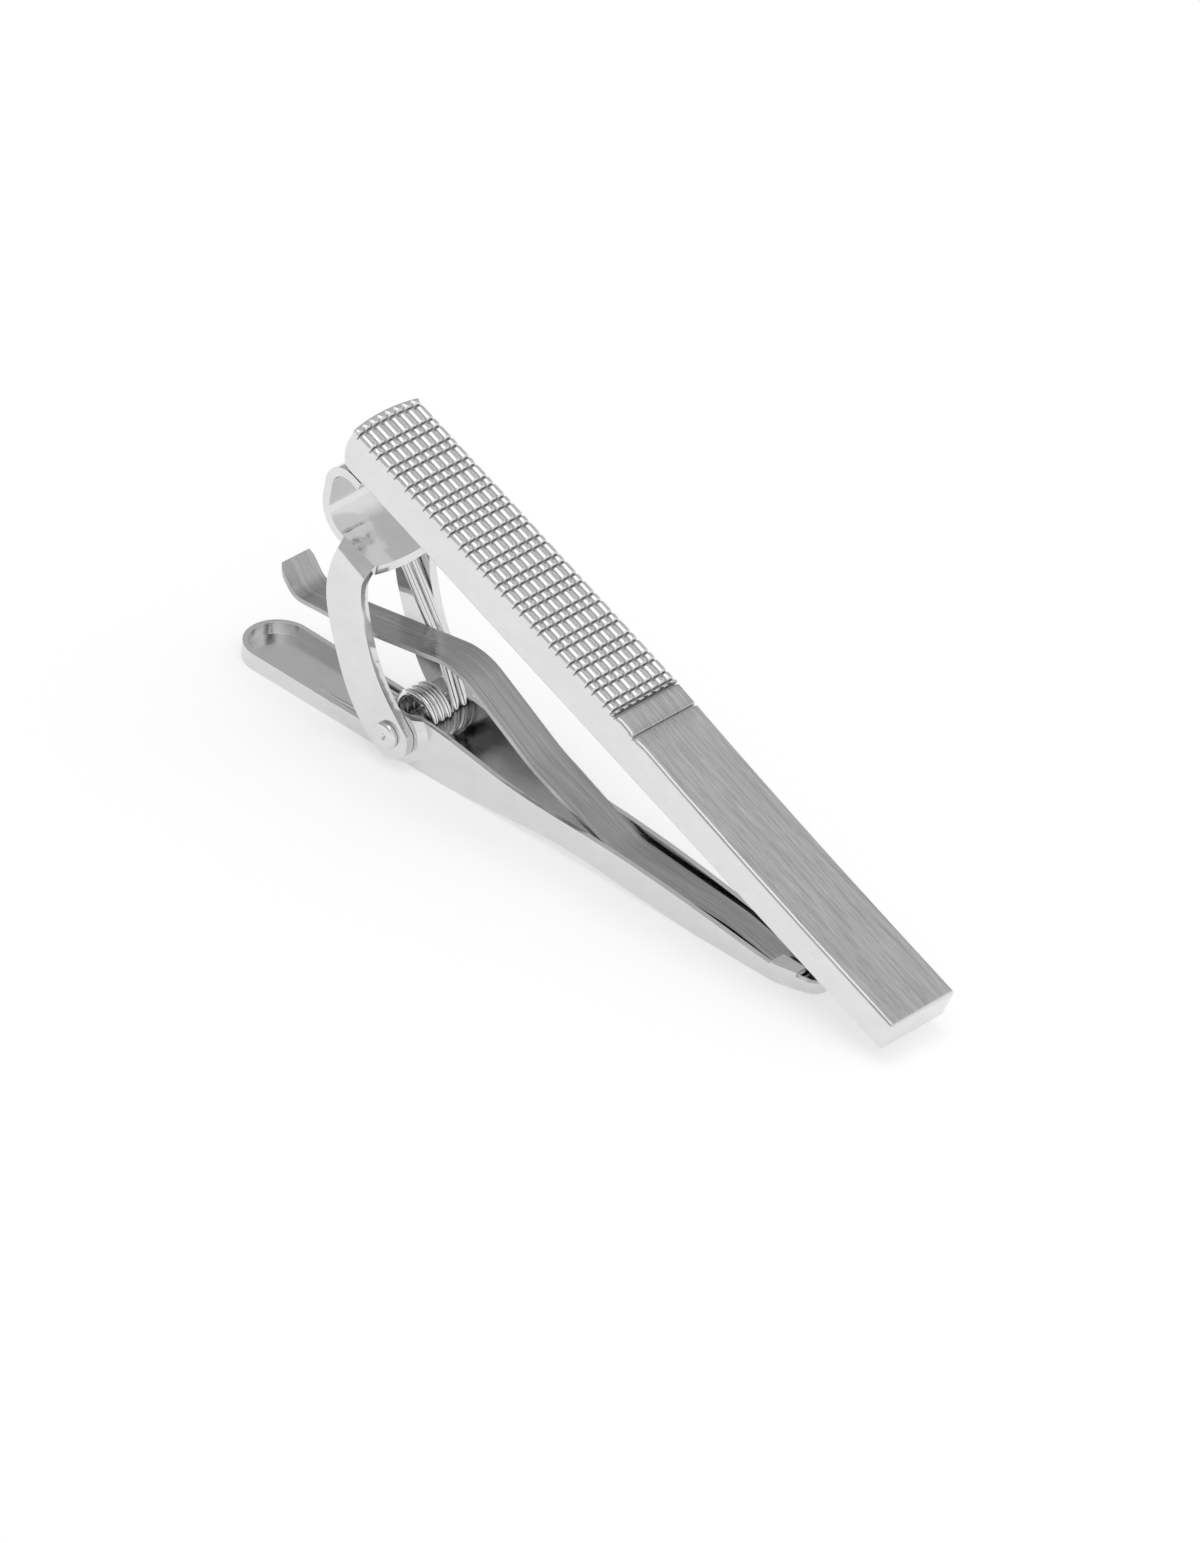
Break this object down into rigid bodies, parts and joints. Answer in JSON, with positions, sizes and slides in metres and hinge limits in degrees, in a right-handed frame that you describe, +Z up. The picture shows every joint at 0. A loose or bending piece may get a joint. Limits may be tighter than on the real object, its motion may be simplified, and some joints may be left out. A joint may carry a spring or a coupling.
{
  "type": "hinged tie clip",
  "caption": "Sprung tie clip: a textured and brushed bar on a folded yoke, hinged on a boat-shaped back channel with a grip leaf.",
  "frame": {"origin": "on the flat underside of the back channel, straight under the hinge pin", "axes": "+X towards the nose of the clip, +Y across it, +Z up from the underside"},
  "size_m": [0.0656, 0.0084, 0.0254],
  "materials": {
    "bar_metal": "lengthwise brushed, with polished sides",
    "solder": "plated over, satin",
    "polished_sheet": "bright plated",
    "brushed_leaf": "lengthwise brushed spring steel",
    "spring_wire": "bright plated spring wire"
  },
  "bodies": {
    "base": {"base_channel": "polished_sheet", "grip_leaf": "brushed_leaf", "torsion_spring": "spring_wire", "pivot_rivet": "polished_sheet"},
    "lever": {"front_bar": "bar_metal", "solder_joint": "solder", "hinge_yoke": "polished_sheet"}
  },
  "joints": [
    {"name": "clip_hinge", "type": "hinge", "parent": "base", "child": "lever", "pos_m": [0, 0, 0.00265], "axis": [0, -1, 0], "range_deg": [-4, 33], "stiffness_Nm_per_rad": 0.072, "springref_deg": 1.65, "deforming": ["torsion_spring"]}
  ]
}
